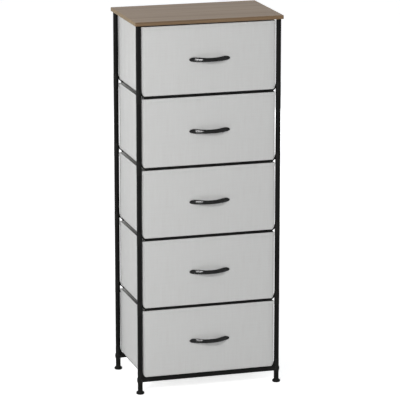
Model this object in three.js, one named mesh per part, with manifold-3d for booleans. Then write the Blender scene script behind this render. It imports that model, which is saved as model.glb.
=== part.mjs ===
// Tall chest of five fabric drawers on a tubular steel frame, with a wooden top board.
// Millimetres, +Z up, front facing -Y. The origin is at floor level, in the middle of the
// object's outer box, which reaches from the back of the top board to the front of the handles.
import * as THREE from 'three';
import { mergeVertices } from 'three/addons/utils/BufferGeometryUtils.js';
import Module from 'manifold-3d';

const wasm = await Module();
wasm.setup();

// Counts and facets
const drawerCount = 5;
const tubeSides = 16;
const rodSides = 12;
const footSides = 16;
const curveSteps = 6;
const cornerSteps = 3;

// Clearances
const seatGap = 0.3;
const passGap = 0.7;
const overrun = 5;

// Top board
const boardWidth = 480;
const boardDepth = 300;
const boardThickness = 12;
const boardCornerRadius = 3;
const boardEase = 1;
const boardHeadroom = 4.7;

// Posts and feet
const postDiameter = 16;
const postWall = 1;
const postInsetSide = 13;
const postInsetFront = 13;
const footHeight = 17;
const footDiameter = 26;
const footRim = 5;
const footFlareShares = [[0.45, 0.4], [0.1, 0.54]];
const footStudLength = 24;
const footStudPlay = 0.7;
const plugFlange = 2.5;
const plugDepth = 14;
const plugPlay = 0.4;

// Bottom tubes
const bottomTubeHeight = 38;
const bottomTubeDiameter = 16;
const bottomTubeWall = 1;

// Support rods
const rodDiameter = 8;
const tenonDiameter = 4.6;
const tenonLength = 6.5;
const tenonPlay = 0.3;

// Corner connectors, moulded on the ends of each side rod
const sleeveWall = 0.8;
const sleeveAbove = 27;
const sleeveBelow = 17;
const armThickness = 8;
const armEye = 8;
const armBellyShare = 0.6;
const armBellyHeightShare = 0.08;
const armThroatHeightShare = 0.2;
const armUndersideShare = 0.4;
const rodSocketLength = 13;
const spigotLength = 15;
const spigotPlay = 0.4;
const collarWall = 2.4;
const collarOverlap = 0.5;

// Fabric drawers
const drawerHeight = 218;
const drawerProud = 5;
const drawerSideGap = 6.5;
const drawerBottomRadius = 7;
const drawerCornerRadius = 5;
const fabricWall = 3;
const sideRodTuck = 9;

// Boards inside each drawer
const pocketSkin = 1.7;
const frontBoardThickness = 3;
const frontBoardInset = 8;
const frontBoardDrop = 3;
const bottomBoardThickness = 3;
const bottomBoardInset = 1.5;

// Bow handles
const handleLength = 132;
const handleReach = 24;
const handleBand = 4.5;
const handleTip = 3.6;
const handlePadLength = 20;
const handleEndHeight = 14;
const handleMiddleHeight = 10.4;
const handleLeaveShare = 0.06;
const handleBendShare = 0.26;
const handleSwellShare = 1.2;
const handleRoundShare = 0.13;
const handleSlimShare = 0.24;

// Colours, roughness and metalness
const finishes = {
  board: { color: 0x92836f, roughness: 0.55, metalness: 0 },
  steel: { color: 0x1e1e1c, roughness: 0.42, metalness: 0.2 },
  plastic: { color: 0x1a1a19, roughness: 0.5, metalness: 0 },
  fabric: { color: 0xc6c6c4, roughness: 0.95, metalness: 0 },
  fibreboard: { color: 0xa98f6c, roughness: 0.9, metalness: 0 },
  handle: { color: 0x151515, roughness: 0.25, metalness: 0 },
};

// Values worked out from the sizes above
const postRadius = postDiameter / 2;
const postX = boardWidth / 2 - postInsetSide;
const postY = boardDepth / 2 - postInsetFront;
const sleeveBore = postRadius + seatGap;
const sleeveRadius = sleeveBore + sleeveWall;
const armStart = sleeveRadius + armEye;
const socketReach = armStart + rodSocketLength;
const rodRadius = rodDiameter / 2;
const bottomTubeRadius = bottomTubeDiameter / 2;
const bottomTubeTop = bottomTubeHeight + bottomTubeDiameter;
const drawerPitch = drawerHeight + rodDiameter + seatGap + passGap;
const topDrawerTop = bottomTubeTop + seatGap + drawerPitch * (drawerCount - 1) + drawerHeight;
const boardUnderside = topDrawerTop + boardHeadroom;
const drawerHalf = postX - postRadius - drawerSideGap;
const drawerFront = -postY - drawerProud;
const drawerBack = postY + drawerProud;
const drawerDepth = drawerBack - drawerFront;
const sideRodX = drawerHalf - sideRodTuck;
const pocketDepth = frontBoardThickness + 2 * seatGap;
const frontWall = pocketDepth + 2 * pocketSkin;
const footReach = postY + footDiameter / 2;
const handleFront = seatGap + handleReach - drawerFront;
const frontReach = Math.max(boardDepth / 2, footReach, handleFront);
const backReach = Math.max(boardDepth / 2, footReach, drawerBack);
const centreShift = (frontReach - backReach) / 2;

const corners = [
  { name: 'front_left', x: -postX, y: -postY },
  { name: 'front_right', x: postX, y: -postY },
  { name: 'back_left', x: -postX, y: postY },
  { name: 'back_right', x: postX, y: postY },
];

// Height of the underside of a drawer, where drawer 1 is the top one
function drawerUnderside(number) {
  return bottomTubeTop + seatGap + drawerPitch * (drawerCount - number);
}

// Height of the middle of the rods that carry a drawer
function rodHeight(number) {
  return drawerUnderside(number) - seatGap - rodRadius;
}

// Turns a closed geometry into a solid that can be joined and cut
function solidOf(geometry) {
  const bare = geometry.clone();
  bare.deleteAttribute('normal');
  bare.deleteAttribute('uv');
  const merged = mergeVertices(bare);
  const mesh = new wasm.Mesh({
    numProp: 3,
    vertProperties: new Float32Array(merged.attributes.position.array),
    triVerts: new Uint32Array(merged.index.array),
  });
  return new wasm.Manifold(mesh);
}

// Turns a solid back into a geometry
function geometryOf(solid) {
  const mesh = solid.getMesh();
  const geometry = new THREE.BufferGeometry();
  geometry.setAttribute('position', new THREE.BufferAttribute(new Float32Array(mesh.vertProperties), 3));
  geometry.setIndex(new THREE.BufferAttribute(new Uint32Array(mesh.triVerts), 1));
  geometry.computeVertexNormals();
  return geometry;
}

// Revolves a closed profile of [radius, height] points about the Z axis
function revolve(profile, sides) {
  const points = profile.map(([radius, height]) => new THREE.Vector2(radius, height));
  const geometry = new THREE.LatheGeometry([...points, points[0].clone()], sides);
  geometry.rotateX(Math.PI / 2);
  return geometry;
}

// Extrudes an outline drawn in X and Z along Y, centred on the given middle
function extrudeAlongY(shape, depth, middle) {
  const geometry = new THREE.ExtrudeGeometry(shape, { depth, bevelEnabled: false, curveSegments: curveSteps });
  geometry.rotateX(Math.PI / 2);
  geometry.translate(0, middle + depth / 2, 0);
  return geometry;
}

// Extrudes an outline drawn in X and Y upwards from the given height
function extrudeUp(shape, depth, height, steps = curveSteps) {
  const geometry = new THREE.ExtrudeGeometry(shape, { depth, bevelEnabled: false, curveSegments: steps });
  geometry.translate(0, 0, height);
  return geometry;
}

// Rectangle between two corners, with one radius at its low end and one at its high end
function roundedRectangle(x0, y0, x1, y1, lowRadius, highRadius) {
  const quarter = Math.PI / 2;
  const shape = new THREE.Shape();
  shape.moveTo(x0 + lowRadius, y0);
  shape.lineTo(x1 - lowRadius, y0);
  if (lowRadius > 0) {
    shape.absarc(x1 - lowRadius, y0 + lowRadius, lowRadius, -quarter, 0, false);
  }
  shape.lineTo(x1, y1 - highRadius);
  if (highRadius > 0) {
    shape.absarc(x1 - highRadius, y1 - highRadius, highRadius, 0, quarter, false);
  }
  shape.lineTo(x0 + highRadius, y1);
  if (highRadius > 0) {
    shape.absarc(x0 + highRadius, y1 - highRadius, highRadius, quarter, Math.PI, false);
  }
  shape.lineTo(x0, y0 + lowRadius);
  if (lowRadius > 0) {
    shape.absarc(x0 + lowRadius, y0 + lowRadius, lowRadius, Math.PI, Math.PI + quarter, false);
  }
  return shape;
}

// Cylinder along X between two places, at the given height
function barAlongX(radius, x0, x1, height, sides) {
  const geometry = new THREE.CylinderGeometry(radius, radius, x1 - x0, sides);
  geometry.rotateZ(Math.PI / 2);
  geometry.translate((x0 + x1) / 2, 0, height);
  return geometry;
}

// Top board with eased edges
function topBoard() {
  const inner = boardEase;
  const shape = roundedRectangle(
    -boardWidth / 2 + inner, -boardDepth / 2 + inner, boardWidth / 2 - inner, boardDepth / 2 - inner,
    boardCornerRadius - inner, boardCornerRadius - inner,
  );
  const geometry = new THREE.ExtrudeGeometry(shape, {
    depth: boardThickness - 2 * boardEase,
    bevelEnabled: true,
    bevelThickness: boardEase,
    bevelSize: boardEase,
    bevelSegments: 1,
    curveSegments: cornerSteps,
  });
  geometry.translate(0, 0, boardUnderside + boardEase);
  return geometry;
}

// Plug in the top of a post, with a flange that the board lies on
function topPlug() {
  const top = boardUnderside - seatGap;
  const seat = top - plugFlange;
  const bottom = seat - plugDepth;
  const spigot = postRadius - postWall - plugPlay;
  return revolve([[0, bottom], [spigot, bottom], [spigot, seat], [postRadius, seat], [postRadius, top], [0, top]], tubeSides);
}

// Open-ended steel tube that stands on a foot and ends under the flange of a top plug
function post() {
  const bottom = footHeight + seatGap;
  const top = boardUnderside - seatGap - plugFlange - seatGap;
  const bore = postRadius - postWall;
  return revolve([[bore, bottom], [postRadius, bottom], [postRadius, top], [bore, top]], tubeSides);
}

// Levelling foot: a flared pad with a stud that turns inside the post
function foot() {
  const rim = footDiameter / 2;
  const neck = postRadius;
  const stud = postRadius - postWall - footStudPlay;
  const flare = footFlareShares.map(([out, up]) => [neck + (rim - neck) * out, footHeight * up]);
  return revolve([
    [0, 0],
    [rim - footRim / 2, 0],
    [rim, footRim / 2],
    [rim, footRim],
    ...flare,
    [neck, footHeight],
    [stud, footHeight],
    [stud, footHeight + footStudLength],
    [0, footHeight + footStudLength],
  ], footSides);
}

// Round block about the axis of a post, still without the bore for the post
function block(radius, low, high) {
  return revolve([[0, low], [radius, low], [radius, high], [0, high]], tubeSides);
}

// Curved arm of a connector, which leaves the post above the rods and comes down to them
function arm() {
  const bellyX = sleeveRadius + rodRadius * armBellyShare;
  const bellyHeight = sleeveAbove * armBellyHeightShare;
  const throatHeight = sleeveAbove * armThroatHeightShare;
  const shape = new THREE.Shape();
  shape.moveTo(postRadius, sleeveAbove);
  shape.lineTo(sleeveRadius, sleeveAbove);
  shape.quadraticCurveTo(bellyX, bellyHeight, armStart + rodRadius, rodRadius);
  shape.lineTo(armStart + rodRadius, 0);
  shape.lineTo(armStart, 0);
  shape.quadraticCurveTo(sleeveRadius, throatHeight, postRadius, sleeveAbove * armUndersideShare);
  return extrudeAlongY(shape, armThickness, 0);
}

// Bore of a connector's sleeve, cut right through
function sleeveCut() {
  const low = -sleeveBelow - bottomTubeDiameter - overrun;
  const high = sleeveAbove + overrun;
  return block(sleeveBore, low, high);
}

// Sleeve and arm, which both kinds of connector have
function sleeveWithArm() {
  return solidOf(block(sleeveRadius, -sleeveBelow, sleeveAbove)).add(solidOf(arm()));
}

// Connector whose arm ends in a socket for a front or back rod, still without its bore
function rodConnector() {
  const socket = barAlongX(rodRadius, armStart, socketReach, 0, rodSides);
  return sleeveWithArm().add(solidOf(socket)).subtract(solidOf(sleeveCut()));
}

// Bore in the end of a socket for the tenon of a front or back rod
function tenonBore() {
  const boreRadius = tenonDiameter / 2 + tenonPlay;
  return solidOf(barAlongX(boreRadius, socketReach - tenonLength - tenonPlay, socketReach + overrun, 0, rodSides));
}

// Connector whose arm ends on a thick stub with a spigot for a bottom tube
function tubeConnector() {
  const middle = rodRadius - bottomTubeRadius;
  const stub = barAlongX(bottomTubeRadius, 0, socketReach, middle, tubeSides);
  const spigotRadius = bottomTubeRadius - bottomTubeWall - spigotPlay;
  const spigot = barAlongX(spigotRadius, 0, socketReach + spigotLength, middle, tubeSides);
  const collarHalf = bottomTubeRadius + collarOverlap;
  const collar = block(sleeveBore + collarWall, middle - collarHalf, middle + collarHalf);
  const body = sleeveWithArm().add(solidOf(collar)).add(solidOf(stub)).add(solidOf(spigot));
  return body.subtract(solidOf(sleeveCut()));
}

// Side rail for the left side: a rod from front to back with a connector on each end,
// and where the connectors have sockets, their bores, which are cut last
function sideRail(connector, bore) {
  const rodInset = postX - sideRodX;
  const rod = new THREE.CylinderGeometry(rodRadius, rodRadius, 2 * postY, rodSides);
  rod.translate(rodInset, 0, 0);
  let rail = solidOf(rod);
  for (const y of [-postY, postY]) {
    rail = rail.add(connector.translate(0, y, 0));
  }
  for (const y of bore ? [-postY, postY] : []) {
    rail = rail.subtract(bore.translate(0, y, 0));
  }
  return geometryOf(rail.translate(-postX, 0, 0));
}

// Front or back rod with a thinner tenon at each end
function crossRod() {
  const shoulder = postX - socketReach - seatGap;
  const end = shoulder + tenonLength;
  const tenon = tenonDiameter / 2;
  const profile = [
    [0, -end], [tenon, -end], [tenon, -shoulder], [rodRadius, -shoulder],
    [rodRadius, shoulder], [tenon, shoulder], [tenon, end], [0, end],
  ];
  const geometry = revolve(profile, rodSides);
  geometry.rotateY(Math.PI / 2);
  return geometry;
}

// Front or back bottom tube, pushed over the spigots of the bottom connectors
function bottomTube() {
  const end = postX - socketReach - seatGap;
  const bore = bottomTubeRadius - bottomTubeWall;
  const geometry = revolve([[bore, -end], [bottomTubeRadius, -end], [bottomTubeRadius, end], [bore, end]], tubeSides);
  geometry.rotateY(Math.PI / 2);
  return geometry;
}

// Sewn fabric box, open at the top, with a pocket in its front wall for a stiffening board
function fabricBox() {
  const low = 0;
  const high = drawerHeight;
  const depthMiddle = (drawerFront + drawerBack) / 2;
  const outline = roundedRectangle(-drawerHalf, low, drawerHalf, high, drawerBottomRadius, 0);
  const plan = roundedRectangle(
    -drawerHalf, drawerFront, drawerHalf, drawerBack,
    drawerCornerRadius, drawerCornerRadius,
  );
  const innerHalf = drawerHalf - fabricWall;
  const cavityOutline = roundedRectangle(
    -innerHalf, low + fabricWall, innerHalf, high + overrun, drawerBottomRadius - fabricWall, 0,
  );
  const cavityDepth = drawerDepth - frontWall - fabricWall;
  const cavityMiddle = drawerFront + frontWall + cavityDepth / 2;
  const cavityRadius = drawerCornerRadius - fabricWall;
  const cavityPlan = roundedRectangle(
    -innerHalf, drawerFront + frontWall, innerHalf, drawerBack - fabricWall,
    cavityRadius, cavityRadius,
  );
  const cavity = solidOf(extrudeAlongY(cavityOutline, cavityDepth, cavityMiddle))
    .intersect(solidOf(extrudeUp(cavityPlan, high + overrun - low, low, cornerSteps)));
  const pocketHalf = drawerHalf - frontBoardInset + seatGap;
  const pocketOutline = roundedRectangle(
    -pocketHalf, low + frontBoardInset - seatGap, pocketHalf, high + overrun, 0, 0,
  );
  const pocketMiddle = drawerFront + pocketSkin + pocketDepth / 2;
  const box = solidOf(extrudeAlongY(outline, drawerDepth, depthMiddle))
    .intersect(solidOf(extrudeUp(plan, high - low, low, cornerSteps)))
    .subtract(cavity)
    .subtract(solidOf(extrudeAlongY(pocketOutline, pocketDepth, pocketMiddle)));
  return geometryOf(box);
}

// Fibreboard sheet that stands in the front pocket
function frontBoard() {
  const width = 2 * (drawerHalf - frontBoardInset);
  const height = drawerHeight - frontBoardInset - frontBoardDrop;
  const geometry = new THREE.BoxGeometry(width, frontBoardThickness, height);
  const y = drawerFront + pocketSkin + seatGap + frontBoardThickness / 2;
  geometry.translate(0, y, frontBoardInset + height / 2);
  return geometry;
}

// Fibreboard sheet that lies loose on the fabric floor
function bottomBoard() {
  const width = 2 * (drawerHalf - drawerBottomRadius);
  const depth = drawerDepth - frontWall - fabricWall - 2 * bottomBoardInset;
  const geometry = new THREE.BoxGeometry(width, depth, bottomBoardThickness);
  const y = drawerFront + frontWall + bottomBoardInset + depth / 2;
  geometry.translate(0, y, fabricWall + seatGap + bottomBoardThickness / 2);
  return geometry;
}

// Plan of the handle: a bowed band between two flat pads, drawn outwards from the fabric
function handlePlan() {
  const end = handleLength / 2;
  const pad = end - handlePadLength;
  const inner = handleReach - handleBand;
  const leave = handleLength * handleLeaveShare;
  const bend = handleLength * handleBendShare;
  const swell = handleBand * handleSwellShare;
  const shape = new THREE.Shape();
  shape.moveTo(-end, 0);
  shape.lineTo(-pad, 0);
  shape.bezierCurveTo(-pad + leave, 0, -bend + leave, inner, 0, inner);
  shape.bezierCurveTo(bend - leave, inner, pad - leave, 0, pad, 0);
  shape.lineTo(end, 0);
  shape.quadraticCurveTo(end, handleTip, end - handleTip, handleTip);
  shape.bezierCurveTo(pad - leave, swell, bend, handleReach, 0, handleReach);
  shape.bezierCurveTo(-bend, handleReach, -pad + leave, swell, -end + handleTip, handleTip);
  shape.quadraticCurveTo(-end, handleTip, -end, 0);
  return shape;
}

// Front view of the handle: leaf-shaped ends and a slimmer middle
function handleFace() {
  const end = handleLength / 2;
  const leaf = handleEndHeight / 2;
  const waist = handleMiddleHeight / 2;
  const shape = new THREE.Shape();
  const round = handleLength * handleRoundShare;
  const slim = handleLength * handleSlimShare;
  shape.moveTo(-end, 0);
  shape.bezierCurveTo(-end, -leaf, -end + round, -leaf, -end + round, -leaf);
  shape.bezierCurveTo(-slim, -leaf, -slim, -waist, 0, -waist);
  shape.bezierCurveTo(slim, -waist, slim, -leaf, end - round, -leaf);
  shape.bezierCurveTo(end - round, -leaf, end, -leaf, end, 0);
  shape.bezierCurveTo(end, leaf, end - round, leaf, end - round, leaf);
  shape.bezierCurveTo(slim, leaf, slim, waist, 0, waist);
  shape.bezierCurveTo(-slim, waist, -slim, leaf, -end + round, leaf);
  shape.bezierCurveTo(-end + round, leaf, -end, leaf, -end, 0);
  return shape;
}

// Bow handle on the middle of a drawer's front
function bowHandle() {
  const band = extrudeUp(handlePlan(), handleEndHeight + 2 * overrun, -handleEndHeight / 2 - overrun);
  const face = extrudeAlongY(handleFace(), handleReach + 2 * overrun, handleReach / 2);
  const solid = solidOf(band).intersect(solidOf(face));
  const geometry = geometryOf(solid);
  geometry.rotateX(Math.PI);
  geometry.translate(0, drawerFront - seatGap, drawerHeight / 2);
  return geometry;
}

const dresser = new THREE.Group();
dresser.position.y = centreShift;

// Adds a named mesh to the dresser
function place(name, geometry, finish, x = 0, y = 0, z = 0) {
  const mesh = new THREE.Mesh(geometry, new THREE.MeshStandardMaterial({ ...finishes[finish], flatShading: true }));
  mesh.name = name;
  mesh.position.set(x, y, z);
  dresser.add(mesh);
  return mesh;
}

place('top_board', topBoard(), 'board');

for (const { name, x, y } of corners) {
  place(`top_plug_${name}`, topPlug(), 'plastic', x, y);
  place(`post_${name}`, post(), 'steel', x, y);
  place(`foot_${name}`, foot(), 'plastic', x, y);
}

const rodRail = sideRail(rodConnector(), tenonBore());
const tubeRail = sideRail(tubeConnector());

for (let number = 1; number <= drawerCount; number += 1) {
  const lowest = number === drawerCount;
  const rail = lowest ? tubeRail : rodRail;
  const height = rodHeight(number);
  place(`side_rail_${number}_left`, rail, 'steel', 0, 0, height);
  place(`side_rail_${number}_right`, rail.clone(), 'steel', 0, 0, height).rotation.z = Math.PI;
  for (const [name, y] of [['front', -postY], ['back', postY]]) {
    if (lowest) {
      place(`bottom_tube_${name}`, bottomTube(), 'steel', 0, y, bottomTubeHeight + bottomTubeRadius);
    } else {
      place(`cross_rod_${number}_${name}`, crossRod(), 'steel', 0, y, height);
    }
  }
}

for (let number = 1; number <= drawerCount; number += 1) {
  const height = drawerUnderside(number);
  place(`drawer_${number}_fabric`, fabricBox(), 'fabric', 0, 0, height);
  place(`drawer_${number}_front_board`, frontBoard(), 'fibreboard', 0, 0, height);
  place(`drawer_${number}_bottom_board`, bottomBoard(), 'fibreboard', 0, 0, height);
  place(`drawer_${number}_handle`, bowHandle(), 'handle', 0, 0, height);
}

export default dresser;
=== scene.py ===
"""Tall dresser with five light grey fabric drawers in a black tubular frame under a wooden top.

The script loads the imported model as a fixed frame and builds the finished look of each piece
around it. Lengths are in metres, +Z is up and the drawers face -Y.
"""

from __future__ import annotations

import logging
import math
from dataclasses import dataclass
from enum import Enum
from typing import Any, NamedTuple, Sequence

import bmesh
import bpy
import numpy as np
from mathutils import Euler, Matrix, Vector

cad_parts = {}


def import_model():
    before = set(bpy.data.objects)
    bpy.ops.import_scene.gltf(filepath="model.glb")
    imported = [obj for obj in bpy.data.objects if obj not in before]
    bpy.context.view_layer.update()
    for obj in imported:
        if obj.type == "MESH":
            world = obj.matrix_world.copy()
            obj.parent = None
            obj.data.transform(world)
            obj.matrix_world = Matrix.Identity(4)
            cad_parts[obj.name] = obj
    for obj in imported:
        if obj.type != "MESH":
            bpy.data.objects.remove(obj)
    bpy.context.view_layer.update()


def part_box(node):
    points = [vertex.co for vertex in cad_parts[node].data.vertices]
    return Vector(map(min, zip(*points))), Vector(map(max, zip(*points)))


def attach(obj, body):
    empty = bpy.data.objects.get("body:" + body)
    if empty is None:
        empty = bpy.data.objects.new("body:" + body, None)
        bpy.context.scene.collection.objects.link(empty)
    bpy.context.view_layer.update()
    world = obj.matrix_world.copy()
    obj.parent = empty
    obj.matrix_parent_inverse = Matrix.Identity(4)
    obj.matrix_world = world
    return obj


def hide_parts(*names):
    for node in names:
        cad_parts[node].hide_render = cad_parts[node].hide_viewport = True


LOG = logging.getLogger("dresser")
MM = 0.001
DRAWERS = 5
QUARTER = math.pi / 2
# Metres between two bands of a wave texture at a scale of 1.
WAVE_PERIOD = 0.31416
# Points closer together than this are merged.
MERGE_DISTANCE = 0.002 * MM
# Degrees between two faces from which the edge between them is shown sharp.
SHARP_ANGLE = 38.0
Array = np.ndarray
Point = tuple[float, float, float]


class Slot(Enum):
    """Material slots of the record that a piece takes its finish from."""

    BOARD = "board_wood"
    STEEL = "frame_steel"
    PLASTIC = "frame_plastic"
    FABRIC = "drawer_fabric"
    HANDLE = "handle_plastic"


class Box(NamedTuple):
    """The box of a node of the frame."""

    low: Vector
    high: Vector

    @classmethod
    def of(cls, node: str) -> Box:
        """Reads the box of a node."""
        return cls(*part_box(node))

    @property
    def middle(self) -> Point:
        """The box's centre."""
        return tuple((low + high) / 2 for low, high in zip(*self))

    @property
    def half(self) -> Point:
        """Half the box's size along each axis."""
        return tuple((high - low) / 2 for low, high in zip(*self))


class Corner(Enum):
    """The four corners of the frame, each with the signs of its X and Y."""

    FRONT_LEFT = (-1, -1)
    FRONT_RIGHT = (1, -1)
    BACK_LEFT = (-1, 1)
    BACK_RIGHT = (1, 1)

    @property
    def label(self) -> str:
        """The corner's name as the nodes spell it."""
        return self.name.lower()

    @property
    def post(self) -> Box:
        """The box of the corner's post."""
        return Box.of("post_" + self.label)


def linear(code: str) -> tuple[float, float, float, float]:
    """Turns an sRGB hex code into linear colour.

    Args:
        code: Six hex digits after a hash.

    Returns:
        Red, green, blue and an alpha of 1.
    """
    raw = np.array([int(code[i : i + 2], 16) for i in (1, 3, 5)]) / 255
    low = raw / 12.92
    high = ((raw + 0.055) / 1.055) ** 2.4
    red, green, blue = np.where(raw <= 0.04045, low, high)
    return float(red), float(green), float(blue), 1.0


def fill_ramp(ramp: bpy.types.ColorRamp, stops: Sequence[tuple[float, str]]) -> None:
    """Sets the stops of a colour ramp.

    Args:
        ramp: The ramp, as a new node has it.
        stops: Pairs of a place from 0 to 1 and a hex colour.
    """
    while len(ramp.elements) < len(stops):
        ramp.elements.new(0.5)
    for element, (place, code) in zip(ramp.elements, stops):
        element.position = place
        element.color = linear(code)


def wire(node: bpy.types.Node, settings: dict[str | int, Any] | None = None,
         links: dict[str | int, bpy.types.NodeSocket] | None = None) -> bpy.types.Node:
    """Sets a node's values and links sockets to it.

    Args:
        node: The node.
        settings: Values by property name, input name or number, and a ramp's stops as "stops".
        links: Sockets by input name or number.

    Returns:
        The same node.
    """
    for key, value in (settings or {}).items():
        if key == "stops":
            fill_ramp(node.color_ramp, value)
        elif isinstance(key, str) and key in node.bl_rna.properties:
            setattr(node, key, value)
        else:
            node.inputs[key].default_value = value
    for key, socket in (links or {}).items():
        node.id_data.links.new(socket, node.inputs[key])
    return node


def add_node(tree: bpy.types.NodeTree, kind: str, settings: dict[str | int, Any] | None = None,
             links: dict[str | int, bpy.types.NodeSocket] | None = None) -> bpy.types.Node:
    """Adds one node with its settings and its incoming links.

    Args:
        tree: The node tree that gets the node.
        kind: The node's Blender type, without the leading ShaderNode.
        settings: Values by property name, input name or number, and a ramp's stops as "stops".
        links: Sockets by input name or number.

    Returns:
        The new node.
    """
    return wire(tree.nodes.new("ShaderNode" + kind), settings, links)


def background_share(tree: bpy.types.NodeTree) -> bpy.types.NodeSocket:
    """Tells camera, glossy and transmission rays from the rest, so that metal too shows white.

    Args:
        tree: The node tree of the floor or the world.

    Returns:
        A socket that is 1 for those rays and else 0.
    """
    path = add_node(tree, "LightPath").outputs
    share = path["Is Camera Ray"]
    for other in ("Is Glossy Ray", "Is Transmission Ray"):
        share = add_node(tree, "Math", {"operation": "MAXIMUM"}, {0: share, 1: path[other]}).outputs[0]
    return share


class Finish:
    """A material that is made from its own sizes and colours."""

    def material(self, name: str) -> bpy.types.Material:
        """Builds the finish.

        Args:
            name: The material's name.

        Returns:
            The finished material.
        """
        material = bpy.data.materials.new(name)
        material.use_nodes = True
        tree = material.node_tree
        tree.nodes.clear()
        shader = add_node(tree, "BsdfPrincipled")
        add_node(tree, "OutputMaterial", links={"Surface": shader.outputs["BSDF"]})
        self.dress(tree, shader)
        return material

    def dress(self, tree: bpy.types.NodeTree, shader: bpy.types.Node) -> None:
        """Adds the nodes of the finish, which each kind of finish has of its own."""
        raise NotImplementedError


@dataclass(frozen=True)
class PaperLaminateBoard(Finish):
    """Printed wood-grain paper laminate, pressed on particle board with a fine matt plate.

    The eye sees long, soft, straight streaks along the board and an even, slightly dull shine.
    """

    dark: str
    middle: str
    light: str
    grain: tuple[float, float] = (190 * MM, 2.6 * MM)
    pores: tuple[float, float] = (47.5 * MM, 0.9 * MM)
    pore_share: float = 0.3
    pore_depth: float = 0.2 * MM
    roughness: float = 0.5
    gloss: float = 0.2

    def dress(self, tree: bpy.types.NodeTree, shader: bpy.types.Node) -> None:
        """Prints the grain along X and presses in the pores, each by its length and width.

        Args:
            tree: The material's node tree.
            shader: Its Principled shader.
        """
        place = add_node(tree, "TexCoord").outputs["Object"]
        streaks = []
        for (length, width), look in (
            (self.grain, {"Scale": 0.22, "Detail": 6.0, "Roughness": 0.62, "Distortion": 0.35}),
            (self.pores, {"Scale": 0.5, "Detail": 3.0, "Roughness": 0.7}),
        ):
            drawn = add_node(tree, "Mapping", {"Scale": (1 / length, 1 / width, 1 / width)}, {"Vector": place})
            noise = add_node(tree, "TexNoise", look, {"Vector": drawn.outputs["Vector"]})
            streaks.append(noise.outputs["Fac"])
        mixed = add_node(tree, "Mix", {"data_type": "FLOAT", "Factor": self.pore_share},
                         {2: streaks[0], 3: streaks[1]})
        colour = add_node(tree, "ValToRGB", {"stops": [(0.32, self.dark), (0.5, self.middle), (0.68, self.light)]},
                          {"Fac": mixed.outputs[0]}).outputs["Color"]
        bump = add_node(tree, "Bump", {"Strength": 0.12, "Distance": self.pore_depth}, {"Height": streaks[1]})
        wire(shader, {"Roughness": self.roughness, "Specular IOR Level": self.gloss},
             {"Base Color": colour, "Normal": bump.outputs["Normal"]})


@dataclass(frozen=True)
class PowderCoatedSteel(Finish):
    """Mild steel tube sprayed with black polyester powder and baked.

    The eye sees a deep satin black with a very fine orange-peel ripple.
    """

    colour: str = "#0c0c0c"
    cloud_colour: str = "#121211"
    ripple: float = 1.6 * MM
    ripple_depth: float = 0.05 * MM
    roughness: float = 0.42
    gloss: float = 0.065

    def dress(self, tree: bpy.types.NodeTree, shader: bpy.types.Node) -> None:
        """Sprays the coat: a fine ripple, and slow clouds in its colour and roughness.

        Args:
            tree: The material's node tree.
            shader: Its Principled shader.
        """
        place = add_node(tree, "TexCoord").outputs["Object"]
        peel = add_node(tree, "TexNoise", {"Scale": 1 / self.ripple, "Detail": 2.0}, {"Vector": place})
        cloud = add_node(tree, "TexNoise", {"Scale": 9.0, "Detail": 3.0}, {"Vector": place}).outputs["Fac"]
        colour = add_node(tree, "ValToRGB", {"stops": [(0.35, self.colour), (0.75, self.cloud_colour)]},
                          {"Fac": cloud}).outputs["Color"]
        rough = add_node(tree, "MapRange", {"To Min": self.roughness - 0.04, "To Max": self.roughness + 0.06},
                         {"Value": cloud})
        bump = add_node(tree, "Bump", {"Strength": 0.1, "Distance": self.ripple_depth},
                        {"Height": peel.outputs["Fac"]})
        wire(shader, {"Specular IOR Level": self.gloss},
             {"Base Color": colour, "Roughness": rough.outputs["Result"], "Normal": bump.outputs["Normal"]})


@dataclass(frozen=True)
class GlossCoatedSteel(PowderCoatedSteel):
    """Thin steel rod with a thicker, glossier coat of the same powder.

    The eye sees a dark grey: the coat's gloss mirrors the pale room, and its colours are painted a lighter grey than
    the black powder, as painted reflection of that room.
    """

    # Painted reflection: both colours are lighter than the black powder, standing in for the pale room that the coat
    # mirrors.
    colour: str = "#343433"
    cloud_colour: str = "#40403e"
    roughness: float = 0.34
    gloss: float = 0.7


@dataclass(frozen=True)
class MouldedPlastic(Finish):
    """Plastic as it comes out of a steel tool, with the tool's grain and faint flow marks."""

    colour: str
    grain: float
    roughness: float
    gloss: float
    grain_depth: float = 0.05 * MM

    def dress(self, tree: bpy.types.NodeTree, shader: bpy.types.Node) -> None:
        """Prints the tool's grain and lets the roughness drift as the plastic flowed.

        Args:
            tree: The material's node tree.
            shader: Its Principled shader.
        """
        place = add_node(tree, "TexCoord").outputs["Object"]
        grain = add_node(tree, "TexNoise", {"Scale": 1 / self.grain, "Detail": 2.0}, {"Vector": place})
        flow = add_node(tree, "TexNoise", {"Scale": 30.0, "Detail": 2.0}, {"Vector": place})
        rough = add_node(tree, "MapRange", {"To Min": self.roughness - 0.05, "To Max": self.roughness + 0.05},
                         {"Value": flow.outputs["Fac"]})
        bump = add_node(tree, "Bump", {"Strength": 0.08, "Distance": self.grain_depth},
                        {"Height": grain.outputs["Fac"]})
        wire(shader, {"Base Color": linear(self.colour), "Specular IOR Level": self.gloss},
             {"Roughness": rough.outputs["Result"], "Normal": bump.outputs["Normal"]})


@dataclass(frozen=True)
class MouldedPolypropylene(MouldedPlastic):
    """Black polypropylene, injection moulded in a lightly spark-eroded tool.

    The eye sees a black a little greyer and duller than the painted tubes.
    """

    colour: str = "#121211"
    grain: float = 0.8 * MM
    roughness: float = 0.5
    gloss: float = 0.09


@dataclass(frozen=True)
class PolishedAbs(MouldedPlastic):
    """Black ABS, injection moulded in a mirror-polished tool.

    The eye sees a deep, wet black with small, sharp highlights.
    """

    colour: str = "#020202"
    grain: float = 1.5 * MM
    roughness: float = 0.16
    gloss: float = 0.21


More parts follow.
